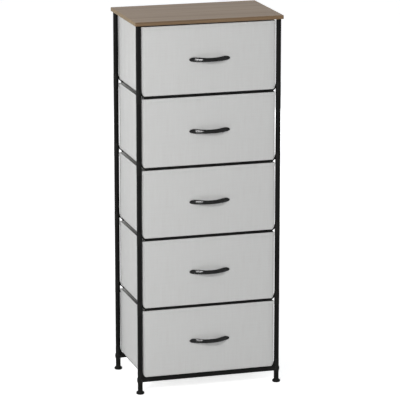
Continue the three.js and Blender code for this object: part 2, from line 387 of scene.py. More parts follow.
@dataclass(frozen=True)
class WovenPolyester(Finish):
    """Light grey polyester cloth in a plain weave, laminated to a stiff felt backing.

    The eye sees a matt, even grey with faint slubs along both thread directions. The real threads
    are about 0.4 mm apart, too fine to show, so they are drawn 1.4 mm apart.
    """

    shade: str = "#c8c8c6"
    slub: str = "#cacac8"
    shadow: str = "#c6c5c3"
    thread: float = 1.4 * MM
    thread_depth: float = 0.15 * MM
    slub_length: float = 90 * MM
    slub_width: float = 4.5 * MM
    upright_share: float = 0.6
    pit_shade: float = 0.975

    def dress(self, tree: bpy.types.NodeTree, shader: bpy.types.Node) -> None:
        """Weaves the cloth on the piece's own UV map, which is in metres along the cloth.

        Args:
            tree: The material's node tree.
            shader: Its Principled shader.
        """
        cloth = add_node(tree, "UVMap", {"uv_map": "UVMap"}).outputs["UV"]
        waves, slubs = [], []
        slub = {"X": (self.slub_length, self.slub_width), "Y": (self.slub_width, self.slub_length)}
        for direction, (length, width) in slub.items():
            wave = add_node(tree, "TexWave", {
                "wave_type": "BANDS", "bands_direction": direction, "wave_profile": "SIN",
                "Scale": WAVE_PERIOD / self.thread, "Distortion": 0.5, "Detail": 1.0,
            }, {"Vector": cloth})
            waves.append(wave.outputs["Fac"])
            stretch = add_node(tree, "Mapping", {"Scale": (1 / length, 1 / width, 1.0)}, {"Vector": cloth})
            noise = add_node(tree, "TexNoise", {"Scale": 1.0, "Detail": 3.0}, {"Vector": stretch.outputs["Vector"]})
            slubs.append(noise.outputs["Fac"])
        threads = add_node(tree, "Math", {"operation": "MAXIMUM"}, {0: waves[0], 1: waves[1]}).outputs[0]
        both = add_node(tree, "Mix", {"data_type": "FLOAT", "Factor": self.upright_share},
                        {2: slubs[0], 3: slubs[1]}).outputs[0]
        colour = add_node(tree, "ValToRGB", {"stops": [(0.34, self.shadow), (0.5, self.shade), (0.66, self.slub)]},
                          {"Fac": both}).outputs["Color"]
        # Painted shade: the colour darkens by pit_shade in the pits between the threads.
        pits = add_node(tree, "MapRange", {"To Min": self.pit_shade, "To Max": 1.0}, {"Value": threads})
        woven = add_node(tree, "Mix", {"data_type": "RGBA", "blend_type": "MULTIPLY", "Factor": 1.0},
                         {6: colour, 7: pits.outputs["Result"]})
        height = add_node(tree, "Math", {"operation": "ADD"}, {0: threads, 1: both})
        bump = add_node(tree, "Bump", {"Strength": 0.22, "Distance": self.thread_depth},
                        {"Height": height.outputs[0]})
        wire(shader, {"Roughness": 0.95, "Specular IOR Level": 0.2, "Sheen Weight": 0.15, "Sheen Roughness": 0.6},
             {"Base Color": woven.outputs[2], "Normal": bump.outputs["Normal"]})


@dataclass(frozen=True)
class TwistedThread(WovenPolyester):
    """Grey polyester sewing thread, twisted from fine filaments.

    The eye sees stitches a little darker than the cloth.
    """

    shade: str = "#b4b4b2"
    slub: str = "#bdbdbb"
    shadow: str = "#a6a6a4"
    thread: float = 0.5 * MM


@dataclass(frozen=True)
class RawFibreboard(Finish):
    """Medium density fibreboard with its sanded face left bare.

    The eye sees a warm brown felt of short fibres with darker specks.
    """

    colour: str = "#a88c67"
    fleck: str = "#8d7350"
    fibre: float = 1.2 * MM
    fibre_depth: float = 0.1 * MM
    cloud_share: float = 0.35
    roughness: float = 0.88

    def dress(self, tree: bpy.types.NodeTree, shader: bpy.types.Node) -> None:
        """Mixes short fibres with slow clouds.

        Args:
            tree: The material's node tree.
            shader: Its Principled shader.
        """
        place = add_node(tree, "TexCoord").outputs["Object"]
        fibre = add_node(tree, "TexNoise", {"Scale": 1 / self.fibre, "Detail": 5.0, "Roughness": 0.7},
                         {"Vector": place}).outputs["Fac"]
        cloud = add_node(tree, "TexNoise", {"Scale": 14.0, "Detail": 2.0}, {"Vector": place})
        mixed = add_node(tree, "Mix", {"data_type": "FLOAT", "Factor": self.cloud_share},
                         {2: fibre, 3: cloud.outputs["Fac"]})
        colour = add_node(tree, "ValToRGB", {"stops": [(0.38, self.fleck), (0.58, self.colour)]},
                          {"Fac": mixed.outputs[0]}).outputs["Color"]
        bump = add_node(tree, "Bump", {"Strength": 0.2, "Distance": self.fibre_depth}, {"Height": fibre})
        wire(shader, {"Roughness": self.roughness}, {"Base Color": colour, "Normal": bump.outputs["Normal"]})


@dataclass(frozen=True)
class ZincPlatedSteel(Finish):
    """Steel screw with a bright zinc plating, lightly dulled by handling.

    The eye sees a cool, light metal with a slightly uneven haze.
    """

    colour: str = "#b9bcc0"
    roughness: float = 0.32

    def dress(self, tree: bpy.types.NodeTree, shader: bpy.types.Node) -> None:
        """Lays a fine haze on the plating.

        Args:
            tree: The material's node tree.
            shader: Its Principled shader.
        """
        place = add_node(tree, "TexCoord").outputs["Object"]
        haze = add_node(tree, "TexNoise", {"Scale": 400.0, "Detail": 2.0}, {"Vector": place})
        rough = add_node(tree, "MapRange", {"To Min": self.roughness, "To Max": self.roughness + 0.15},
                         {"Value": haze.outputs["Fac"]})
        wire(shader, {"Base Color": linear(self.colour), "Metallic": 1.0}, {"Roughness": rough.outputs["Result"]})


@dataclass(frozen=True)
class WhiteFloorPaint(Finish):
    """Matt white paint on the studio floor.

    The eye sees plain white, also in mirrors, because the paint glows, and a faint shadow on it.
    """

    colour: str = "#f5f5f5"
    mottle: str = "#f2f2f2"
    roughness: float = 0.9
    glow: float = 0.68

    def dress(self, tree: bpy.types.NodeTree, shader: bpy.types.Node) -> None:
        """Paints the floor, with a glow that only the background's rays see.

        Args:
            tree: The material's node tree.
            shader: Its Principled shader.
        """
        place = add_node(tree, "TexCoord").outputs["Object"]
        mottle = add_node(tree, "TexNoise", {"Scale": 3.0, "Detail": 2.0}, {"Vector": place})
        colour = add_node(tree, "ValToRGB", {"stops": [(0.3, self.mottle), (0.7, self.colour)]},
                          {"Fac": mottle.outputs["Fac"]}).outputs["Color"]
        glow = add_node(tree, "Math", {"operation": "MULTIPLY", 1: self.glow}, {0: background_share(tree)})
        wire(shader, {"Roughness": self.roughness, "Emission Color": linear("#ffffff")},
             {"Base Color": colour, "Emission Strength": glow.outputs[0]})


class Finishes:
    """Every material of the dresser, built once."""

    def __init__(self) -> None:
        """Builds the materials."""
        self.board = PaperLaminateBoard("#776452", "#8f7b66", "#a08d7a").material("laminated_board_top")
        self.band = PaperLaminateBoard("#62503d", "#745e46", "#876e53").material("laminated_board_edge_band")
        self.end_band = PaperLaminateBoard("#6f604a", "#837054", "#988364").material("laminated_board_end_band")
        self.steel = PowderCoatedSteel().material("powder_coated_steel")
        # The rods' colours carry painted reflection: a lighter grey than the black powder.
        self.rod_steel = GlossCoatedSteel().material("steel_rod_painted_reflection")
        self.plastic = MouldedPolypropylene().material("moulded_polypropylene")
        self.gloss = PolishedAbs().material("polished_abs_handle")
        self.cloth = WovenPolyester().material("woven_polyester_cloth")
        self.stitch = TwistedThread().material("twisted_sewing_thread")
        self.fibreboard = RawFibreboard().material("sanded_fibreboard")
        self.screw = ZincPlatedSteel().material("zinc_plated_screw")


def surface(name: str, points: Array, wrap_rows: bool = False, wrap_columns: bool = True,
            caps: bool = False, uv: Array | None = None, sharp: float = SHARP_ANGLE) -> bpy.types.Object:
    """Makes a mesh from a grid of points, with quads between neighbours.

    Args:
        name: The object's name.
        points: Points as rows by columns by 3.
        wrap_rows: Whether the last row joins the first.
        wrap_columns: Whether the last column joins the first.
        caps: Whether the first and last rows are closed by a face each.
        uv: Places on the cloth as rows by columns by 2, with one more row or column where wrapped.
        sharp: The least angle in degrees between faces that is shown as an edge.

    Returns:
        The new object, with doubles merged and faces pointing out.
    """
    rows, columns = points.shape[:2]
    index = np.arange(rows * columns).reshape(rows, columns)
    if wrap_columns:
        index = np.concatenate([index, index[:, :1]], axis=1)
    if wrap_rows:
        index = np.concatenate([index, index[:1]], axis=0)
    corners = (index[:-1, :-1], index[:-1, 1:], index[1:, 1:], index[1:, :-1])
    faces = np.stack(corners, axis=-1).reshape(-1, 4).tolist()
    if caps:
        faces.append(index[0, :columns][::-1].tolist())
        faces.append(index[-1, :columns].tolist())
    mesh = bpy.data.meshes.new(name)
    mesh.from_pydata(points.reshape(-1, 3).tolist(), [], faces)
    if uv is not None:
        quads = np.stack((uv[:-1, :-1], uv[:-1, 1:], uv[1:, 1:], uv[1:, :-1]), axis=2).reshape(-1, 2)
        flat = np.zeros((len(mesh.loops), 2))
        flat[: len(quads)] = quads
        mesh.uv_layers.new(name="UVMap").data.foreach_set("uv", flat.ravel())
    return place_mesh(name, mesh, sharp)


def place_mesh(name: str, mesh: bpy.types.Mesh, sharp: float = SHARP_ANGLE) -> bpy.types.Object:
    """Merges doubles, points the faces out, shades smooth and links the mesh as an object.

    Args:
        name: The object's name.
        mesh: The mesh to finish.
        sharp: The least angle in degrees between faces that is shown as an edge.

    Returns:
        The new object.
    """
    work = bmesh.new()
    work.from_mesh(mesh)
    bmesh.ops.remove_doubles(work, verts=work.verts, dist=MERGE_DISTANCE)
    bmesh.ops.recalc_face_normals(work, faces=work.faces)
    work.to_mesh(mesh)
    work.free()
    mesh.shade_smooth()
    mesh.set_sharp_from_angle(angle=math.radians(sharp))
    obj = bpy.data.objects.new(name, mesh)
    bpy.context.scene.collection.objects.link(obj)
    return obj


def full_turn(count: int) -> Array:
    """Even angles round a circle, without the last one."""
    return np.linspace(0, 2 * math.pi, count, endpoint=False)


def smooth_step(value: Array, low: float, high: float) -> Array:
    """Rises from 0 at low to 1 at high along 3t squared minus 2t cubed."""
    share = np.clip((value - low) / (high - low), 0, 1)
    return share * share * (3 - 2 * share)


def running_length(points: Array) -> Array:
    """Length along a line of points, counted up to each of them."""
    return np.concatenate([[0], np.cumsum(np.linalg.norm(np.diff(points, axis=0), axis=1))])


def closed(loop: Array) -> Array:
    """A loop of points with its first one again at the end."""
    return np.concatenate([loop, loop[:1]])


def stand(flat: Array, height: float | Array) -> Array:
    """Sets places in plan at their heights.

    Args:
        flat: X and Y as rows by samples by 2.
        height: Z, as one number or anything that fits rows by samples.

    Returns:
        Points as rows by samples by 3.
    """
    return np.concatenate([flat, np.broadcast_to(height, flat.shape[:2])[..., None]], axis=-1)


def superellipse(turn: Array, power: float) -> tuple[Array, Array]:
    """Unit superellipse, whose cosine and sine are raised to 2 over the power.

    Args:
        turn: Angles in radians.
        power: 2 gives a circle, more gives a squarer form.

    Returns:
        The two coordinates, each from -1 to 1.
    """
    cosine, sine = np.cos(turn), np.sin(turn)
    across = np.sign(cosine) * np.abs(cosine) ** (2 / power)
    up = np.sign(sine) * np.abs(sine) ** (2 / power)
    return across, up


def revolve(name: str, profile: Array, centre: Sequence[float], axis: str = "z", sides: int = 40) -> bpy.types.Object:
    """Turns a profile of radius and height about an axis.

    Each point is the centre plus radius times (cos a, sin a) across the axis, plus height along it.

    Args:
        name: The object's name.
        profile: Radius and height pairs, closed on the axis or on themselves.
        centre: The point that heights are counted from.
        axis: The axis letter, x, y or z.
        sides: Steps round the axis.

    Returns:
        The new object.
    """
    turn = full_turn(sides)
    radius, height = profile[:, :1], profile[:, 1:]
    across = radius * np.cos(turn)
    beside = radius * np.sin(turn)
    along = np.broadcast_to(height, across.shape)
    order = {"z": (across, beside, along), "x": (along, across, beside), "y": (beside, along, across)}[axis]
    points = np.stack(order, axis=-1) + np.asarray(centre)
    return surface(name, points, wrap_rows=bool(profile[0, 0] > 0))


def rounded_rod(radius: float, low: float, high: float, edge: float) -> Array:
    """Profile of a solid rod whose two end edges are rounded.

    The rounding is a quarter circle of the edge radius at each end.

    Args:
        radius: The rod's radius.
        low: Height of its low end.
        high: Height of its high end.
        edge: Radius of the end edges.

    Returns:
        Radius and height pairs from axis to axis.
    """
    angle = np.linspace(0, QUARTER, 5)
    start = np.stack([radius - edge + edge * np.sin(angle), low + edge - edge * np.cos(angle)], axis=1)
    stop = np.stack([radius - edge + edge * np.cos(angle), high - edge + edge * np.sin(angle)], axis=1)
    return np.concatenate([[[0, low]], start, stop, [[0, high]]])


def pipe(radius: float, wall: float, low: float, high: float, ease: float) -> Array:
    """Profile of an open-ended tube with both outer end edges eased.

    Args:
        radius: The tube's outer radius.
        wall: Its wall.
        low: Height of its low end.
        high: Height of its high end.
        ease: Width of the eased edges.

    Returns:
        Radius and height pairs that close on themselves.
    """
    bore = radius - wall
    return np.array([[bore, low], [radius - ease, low], [radius, low + ease],
                     [radius, high - ease], [radius - ease, high], [bore, high]])


def seat(obj: bpy.types.Object, body: str, materials: Sequence[bpy.types.Material],
         nodes: Sequence[str] = ()) -> bpy.types.Object:
    """Dresses a piece, sets the body it moves with and hides the frame's nodes that it stands for.

    Args:
        obj: The piece.
        body: The body that it rides on.
        materials: Its materials, in the order of its face indices.
        nodes: The frame's nodes that it replaces.

    Returns:
        The same piece.
    """
    obj.data.materials.clear()
    for material in materials:
        obj.data.materials.append(material)
    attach(obj, body)
    if nodes:
        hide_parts(*nodes)
    LOG.info("%s: %d faces on %s", obj.name, len(obj.data.polygons), body)
    return obj


@dataclass(frozen=True)
class LoopPlan:
    """Rounded rectangle seen from above, sampled the same way at every size.

    The samples start in the middle of the back and run round by the left, the front and the right.
    """

    along: int = 88
    beside: int = 60
    corner: int = 12

    def loop(self, low: Sequence[float], high: Sequence[float], front: float, back: float) -> Array:
        """Samples the outline: straight sides joined by quarter circles.

        Args:
            low: X and Y of the left front.
            high: X and Y of the right back.
            front: Radius of the front corners.
            back: Radius of the back corners.

        Returns:
            Points as samples by 2.
        """
        (x0, y0), (x1, y1) = low, high
        middle = (x0 + x1) / 2
        half = self.along // 2
        # Each corner: its centre, its radius, the quarter turn it starts at and the side that follows.
        corners = (
            ((x0 + back, y1 - back), back, 1, (x0, y1 - back), (x0, y0 + front), self.beside),
            ((x0 + front, y0 + front), front, 2, (x0 + front, y0), (x1 - front, y0), self.along),
            ((x1 - front, y0 + front), front, 3, (x1, y0 + front), (x1, y1 - back), self.beside),
            ((x1 - back, y1 - back), back, 0, (x1 - back, y1), (middle, y1), half),
        )
        parts = [self._line((middle, y1), (x0 + back, y1), half)]
        for centre, radius, start, first, last, count in corners:
            angle = start * QUARTER + np.linspace(0, QUARTER, self.corner, endpoint=False)
            parts.append(np.asarray(centre) + radius * np.stack([np.cos(angle), np.sin(angle)], axis=1))
            parts.append(self._line(first, last, count))
        return np.concatenate(parts)

    @staticmethod
    def _line(first: Sequence[float], last: Sequence[float], count: int) -> Array:
        """Points from the first up to, but without, the last, closer together near both ends.

        The share of the way is half of 1 minus the cosine of pi times the share of the count.

        Args:
            first: X and Y of the start.
            last: X and Y of the end.
            count: How many points.

        Returns:
            Points as count by 2.
        """
        share = (1 - np.cos(math.pi * np.linspace(0, 1, count, endpoint=False)[:, None])) / 2
        return np.asarray(first) * (1 - share) + np.asarray(last) * share

    @staticmethod
    def outward(loop: Array) -> Array:
        """Works out which way is out, square to the line between each sample's neighbours.

        Args:
            loop: A loop that runs anticlockwise seen from above, as samples by 2.

        Returns:
            Unit normals that point out of it.
        """
        ahead = np.roll(loop, -1, axis=0) - np.roll(loop, 1, axis=0)
        normal = np.stack([ahead[:, 1], -ahead[:, 0]], axis=1)
        return normal / np.linalg.norm(normal, axis=1, keepdims=True)


@dataclass
class TopBoard:
    """Laminated board with a band round its edge."""

    finishes: Finishes
    corner_radius: float = 3 * MM
    edge_radius: float = 1.2 * MM
    face_inset: float = 9.6 * MM
    least_radius: float = 0.2 * MM
    face_tilt: float = 0.75

    def build(self) -> None:
        """Builds the board as loops that run up its side, each drawn in by the rounded edge.

        The strip on the two ends takes a lighter copy of the band's colours.
        """
        low, high = Box.of("top_board")
        angle = np.linspace(0, QUARTER, 5)
        drop, draw = self.edge_radius * (1 - np.cos(angle)), self.edge_radius * (1 - np.sin(angle))
        inset = np.concatenate([[self.face_inset], draw, drop, [self.face_inset]])
        height = np.concatenate([[low.z], low.z + drop, high.z - draw, [high.z]])
        radii = np.maximum(self.corner_radius - inset, self.least_radius)
        plan = LoopPlan(along=24, beside=16, corner=5)
        flat = np.stack([plan.loop((low.x + inward, low.y + inward), (high.x - inward, high.y - inward), radius, radius)
                         for inward, radius in zip(inset, radii)])
        board = surface("dressed_top_board", stand(flat, height[:, None]), caps=True)
        finishes = self.finishes
        seat(board, "frame", [finishes.board, finishes.band, finishes.end_band], ["top_board"])
        faces = board.data.polygons
        normals = np.zeros(len(faces) * 3)
        faces.foreach_get("normal", normals)
        facing = np.abs(normals.reshape(-1, 3))
        finish = np.where(facing[:, 2] >= self.face_tilt, 0, np.where(facing[:, 0] > facing[:, 1], 2, 1))
        faces.foreach_set("material_index", finish.astype(np.int32))


class LevelKind(Enum):
    """How a corner connector ends: on a thin rod or on the thick bottom tube."""

    ROD = "rod"
    TUBE = "tube"


@dataclass(frozen=True)
class FrameSizes:
    """Sizes that the posts, connectors and rods share, and the heights of the levels."""

    tube_wall: float = 1 * MM
    tube_end_ease: float = 0.35 * MM
    seat_gap: float = 0.3 * MM
    body_above: float = 27 * MM
    body_below: float = 17 * MM
    body_proud: float = 0.25 * MM
    spigot_length: float = 9 * MM
    spigot_play: float = 0.35 * MM
    rod_radius: float = 4 * MM

    @property
    def post_radius(self) -> float:
        """Outer radius of the posts, from the frame."""
        return Corner.FRONT_LEFT.post.half[0]

    def level(self, number: int) -> float:
        """Height of the middle of the rods that carry a drawer."""
        return Box.of(f"drawer_{number}_fabric").low.z - self.seat_gap - self.rod_radius


@dataclass
class FramePosts:
    """The four corner posts, each a stack of short tubes, with the plugs above and the feet below."""

    finishes: Finishes
    sizes: FrameSizes
    plug_flange: float = 2.5 * MM
    plug_ease: float = 0.5 * MM
    plug_play: float = 0.1 * MM
    rib_depth: float = 0.9 * MM
    rib_height: float = 1.2 * MM
    rib_places: tuple[float, float] = (3 * MM, 8 * MM)
    pad_thickness: float = 8.5 * MM
    pad_edge: float = 3.2 * MM
    flare_height: float = 4.5 * MM
    collar_gap: float = 0.3 * MM
    collar_ease: float = 0.4 * MM
    stud_inset: float = 1.9 * MM
    thread_depth: float = 0.2 * MM
    thread_pitch: float = 1.5 * MM
    thread_step: float = 0.5 * MM

    def build(self) -> None:
        """Builds each corner's tubes, plug and foot."""
        for corner in Corner:
            self._tubes(corner)
            self._plug(corner)
            self._foot(corner)

    def _tubes(self, corner: Corner) -> None:
        """Turns the wall of each short tube between two connectors, with both end edges eased.

        Args:
            corner: The post's corner.
        """
        sizes, post = self.sizes, corner.post
        levels = [sizes.level(number) for number in range(1, DRAWERS + 1)]
        tops = [post.high.z] + [level - sizes.body_below - sizes.seat_gap for level in levels]
        bottoms = [level + sizes.body_above + sizes.seat_gap for level in levels] + [post.low.z]
        for number, (top, bottom) in enumerate(zip(tops, bottoms), start=1):
            profile = pipe(sizes.post_radius, sizes.tube_wall, bottom, top, sizes.tube_end_ease)
            tube = revolve(f"post_tube_{number}_{corner.label}", profile, (*post.middle[:2], 0), sides=48)
            seat(tube, "frame", [self.finishes.steel], ["post_" + corner.label])

    def _plug(self, corner: Corner) -> None:
        """Turns the plug: a flange under the board and a spigot with two ribs inside the tube.

        Args:
            corner: The plug's corner.
        """
        node = "top_plug_" + corner.label
        box = Box.of(node)
        low, high, ease, rib = box.low.z, box.high.z, self.plug_ease, self.rib_height
        radius = self.sizes.post_radius
        flange = high - self.plug_flange
        bore = radius - self.sizes.tube_wall - self.plug_play
        core = bore - self.rib_depth
        ribs = [[core, low + ease]]
        for base in (low + place for place in self.rib_places):
            ribs += [[core, base], [bore, base + rib / 2], [bore, base + rib], [core, base + 1.5 * rib]]
        profile = np.array([[0, low], [core - ease, low], *ribs, [core, flange], [radius - ease, flange],
                            [radius, flange + ease], [radius, high - ease], [radius - ease, high], [0, high]])
        plug = revolve("dressed_" + node, profile, (*box.middle[:2], 0), sides=48)
        seat(plug, "frame", [self.finishes.plastic], [node])

    def _foot(self, corner: Corner) -> None:
        """Turns the foot: a pad with rounded rims, a short concave flare, a neck and a threaded stud.

        The flare's radius falls from pad to neck by the square of the share of its height left.
        The stud's thread is a wave of its radius along its height.

        Args:
            corner: The foot's corner.
        """
        node = "foot_" + corner.label
        box, post = Box.of(node), corner.post
        rim, neck, edge, pad = box.half[0], post.half[0], self.pad_edge, self.pad_thickness
        top = post.low.z - self.collar_gap
        angle = np.linspace(0, QUARTER, 6)
        under = np.stack([rim - edge + edge * np.sin(angle), edge * (1 - np.cos(angle))], axis=1)
        shoulder = np.stack([rim - edge + edge * np.cos(angle), pad - edge + edge * np.sin(angle)], axis=1)
        share = np.linspace(0.1, 1, 10)
        flare = np.stack([neck + (rim - neck - edge) * (1 - share) ** 2, pad + self.flare_height * share], axis=1)
        collar = np.array([[neck, top - self.collar_ease], [neck - self.collar_ease, top]])
        turns = np.arange(top, box.high.z - self.thread_step, self.thread_step)
        wave = np.cos((turns - top) / self.thread_pitch * 2 * math.pi)
        thread = np.stack([neck - self.stud_inset + self.thread_depth * wave, turns], axis=1)
        profile = np.concatenate([[[0, 0]], under, shoulder, flare, collar, thread, [[0, box.high.z]]])
        foot = revolve("dressed_" + node, profile, (*box.middle[:2], 0), sides=56)
        seat(foot, node, [self.finishes.plastic], [node])


@dataclass
class FrameLevels:
    """The connectors, side rods and cross members that carry one drawer each."""

    finishes: Finishes
    sizes: FrameSizes
    eye: float = 8.85 * MM
    end_ease: float = 0.5 * MM
    body_ease: float = 0.6 * MM
    collar_bulge: float = 1.9 * MM
    collar_half: float = 8 * MM
    collar_power: float = 0.45
    arm_width: float = 8 * MM
    arm_power: float = 4.0
    arm_root: float = 1.5 * MM
    arm_drop: float = 0.6 * MM
    belly: tuple[float, float] = (3.25 * MM, 2.2 * MM)
    throat: tuple[float, float] = (0.85 * MM, 5.4 * MM)
    underside: float = 10.8 * MM
    arm_tip: float = 0.3 * MM
    socket_length: float = 13 * MM
    socket_proud: float = 0.2 * MM
    stub_start: float = 0.6 * MM
    boss_length: float = 15 * MM
    rod_inset: float = 23.5 * MM
    tenon_radius: float = 2.3 * MM
    tenon_length: float = 6.5 * MM

    @property
    def tube_radius(self) -> float:
        """Outer radius of the bottom tubes, from the frame."""
        return Box.of("bottom_tube_front").half[2]

    @property
    def body_radius(self) -> float:
        """Radius of a connector's upright body."""
        return self.sizes.post_radius + self.sizes.body_proud

    def build(self) -> None:
        """Builds every level of the frame."""
        shapes = {kind: self._connector(kind) for kind in LevelKind}
        for number in range(1, DRAWERS + 1):
            kind = LevelKind.TUBE if number == DRAWERS else LevelKind.ROD
            for corner in Corner:
                self._place_connector(shapes[kind], number, corner)
            self._side_rods(number)
            self._cross_members(number, kind)
        for shape in shapes.values():
            bpy.data.meshes.remove(shape)

    def _body(self, kind: LevelKind) -> bpy.types.Object:
        """Turns the upright body, flush with the tubes, and the spigots that enter them.

        On the lowest level the body swells round the bottom tube's height. The swelling is half a
        cosine wave raised to a low power, so that it has a full, barrel-like top.

        Args:
            kind: What the connector ends on.

        Returns:
            The body as a scratch object.
        """
        sizes, radius, ease = self.sizes, self.body_radius, self.body_ease
        spigot = sizes.post_radius - sizes.tube_wall - sizes.spigot_play
        low, high = -sizes.body_below, sizes.body_above
        foot, head = low - sizes.spigot_length, high + sizes.spigot_length
        swelling: list[list[float]] = []
        if kind is LevelKind.TUBE:
            share = np.linspace(-1, 1, 15)
            bulge = radius + self.collar_bulge * np.cos(share * QUARTER) ** self.collar_power
            level = sizes.rod_radius - self.tube_radius + share * self.collar_half
            swelling = np.stack([bulge, level], axis=1).tolist()
        profile = np.array([
            [0, foot], [spigot - ease, foot], [spigot, foot + ease], [spigot, low], [radius - ease / 2, low],
            [radius, low + ease], *swelling, [radius, high - ease], [radius - ease / 2, high], [spigot, high],
            [spigot, head - ease], [spigot - ease, head], [0, head],
        ])
        return revolve("work_body", profile, (0, 0, 0), sides=48)

    def _arm(self, kind: LevelKind) -> bpy.types.Object:
        """Lofts the arm between two quadratic curves in X and Z.

        A quadratic curve is (1-t)^2 A + 2t(1-t) B + t^2 C. The section at each t is a superellipse
        whose height joins the two curves and whose width is the arm's own. On the lowest level
        the lower curve starts inside the tube's socket, so that the arm is a full gusset.

        Args:
            kind: What the connector ends on.

        Returns:
            The arm as a scratch object.
        """
        sizes, radius = self.sizes, self.body_radius
        root, end = radius - self.arm_root, radius + self.eye
        upper = np.array([[root, sizes.body_above - self.arm_drop], [radius + self.belly[0], self.belly[1]],
                          [end + sizes.rod_radius, sizes.rod_radius - self.arm_tip]])
        lower = np.array([[root, self.underside], [radius + self.throat[0], self.throat[1]], [end, 0]])
        if kind is LevelKind.TUBE:
            lower[:, 1] = 0
        share = np.linspace(0, 1, 24)[:, None]
        weights = np.concatenate([(1 - share) ** 2, 2 * share * (1 - share), share**2], axis=1)
        top, bottom = weights @ upper, weights @ lower
        across, up = superellipse(full_turn(28), self.arm_power)
        middle, half = (top + bottom) / 2, (top - bottom) / 2
        plane = middle[:, None, :] + half[:, None, :] * up[None, :, None]
        width = np.broadcast_to(across * self.arm_width / 2, plane.shape[:2])
        return surface("work_arm", np.stack([plane[..., 0], width, plane[..., 1]], axis=-1), caps=True)

    def _connector(self, kind: LevelKind) -> bpy.types.Mesh:
        """Joins body, arm, socket and boss into one closed mesh about the post's axis.

        Args:
            kind: What the connector ends on.

        Returns:
            The joined mesh, for the front left corner.
        """
        start = self.body_radius + self.eye
        reach = start + self.socket_length
        radius = self.sizes.rod_radius + self.socket_proud
        if kind is LevelKind.ROD:
            socket = revolve("work_socket", rounded_rod(radius, start, reach, self.end_ease), (0, 0, 0), "x", 36)
        else:
            stub = rounded_rod(self.tube_radius + self.socket_proud, self.stub_start, reach, self.end_ease)
            socket = revolve("work_socket", stub, (0, 0, self.sizes.rod_radius - self.tube_radius), "x", 48)
        boss = rounded_rod(radius, 0, self.boss_length, self.end_ease)
        others = [self._arm(kind), socket, revolve("work_boss", boss, (self.rod_inset, 0, 0), "y", 36)]
        body = self._body(kind)
        for part in others:
            union = body.modifiers.new("join", "BOOLEAN")
            union.operation = "UNION"
            union.solver = "EXACT"
            union.object = part
        depsgraph = bpy.context.evaluated_depsgraph_get()
        mesh = bpy.data.meshes.new_from_object(body.evaluated_get(depsgraph))
        for part in (body, *others):
            data = part.data
            bpy.data.objects.remove(part)
            bpy.data.meshes.remove(data)
        return mesh

    def _place_connector(self, shape: bpy.types.Mesh, number: int, corner: Corner) -> None:
        """Copies a connector to its corner, mirrored towards the middle of the frame.

        Args:
            shape: The connector's mesh at the front left.
            number: The level, counted from the top.
            corner: The corner that it goes to.
        """
        side, depth = corner.value
        x, y, _ = corner.post.middle
        mesh = shape.copy()
        points = np.zeros(len(mesh.vertices) * 3)
        mesh.vertices.foreach_get("co", points)
        points = points.reshape(-1, 3) * (-side, -depth, 1) + (x, y, self.sizes.level(number))
        mesh.vertices.foreach_set("co", points.ravel())
        mesh.update()
        connector = place_mesh(f"connector_{number}_{corner.label}", mesh)
        rail = f"side_rail_{number}_{'left' if side < 0 else 'right'}"
        seat(connector, "frame", [self.finishes.plastic], [rail])

    def _side_rods(self, number: int) -> None:
        """Turns the rod under each side of a drawer, from the front connector to the back one.

        Args:
            number: The level, counted from the top.
        """
        left, front, _ = Corner.FRONT_LEFT.post.middle
        right, back, _ = Corner.BACK_RIGHT.post.middle
        for side, place in (("left", left + self.rod_inset), ("right", right - self.rod_inset)):
            profile = rounded_rod(self.sizes.rod_radius, front, back, self.end_ease)
            rod = revolve(f"side_rod_{number}_{side}", profile, (place, 0, self.sizes.level(number)), "y", 36)
            seat(rod, "frame", [self.finishes.rod_steel], [f"side_rail_{number}_{side}"])

    def _cross_members(self, number: int, kind: LevelKind) -> None:
        """Turns the front and back rods with their tenons, or the bottom tubes with their open ends.

        Args:
            number: The level, counted from the top.
            kind: Whether the level has rods or tubes.
        """
        for end in ("front", "back"):
            node = f"bottom_tube_{end}" if kind is LevelKind.TUBE else f"cross_rod_{number}_{end}"
            box = Box.of(node)
            low, high, radius = box.low.x, box.high.x, box.half[2]
            if kind is LevelKind.TUBE:
                profile = pipe(radius, self.sizes.tube_wall, low, high, self.sizes.tube_end_ease)
            else:
                tenon, length = self.tenon_radius, self.tenon_length
                body = rounded_rod(radius, low + length, high - length, self.end_ease)
                body[0, 0], body[-1, 0] = tenon, tenon
                profile = np.concatenate([[[0, low], [tenon, low]], body, [[tenon, high], [0, high]]])
            member = revolve("dressed_" + node, profile, (0, *box.middle[1:]), "x", 48)
            seat(member, "frame", [self.finishes.steel], [node])


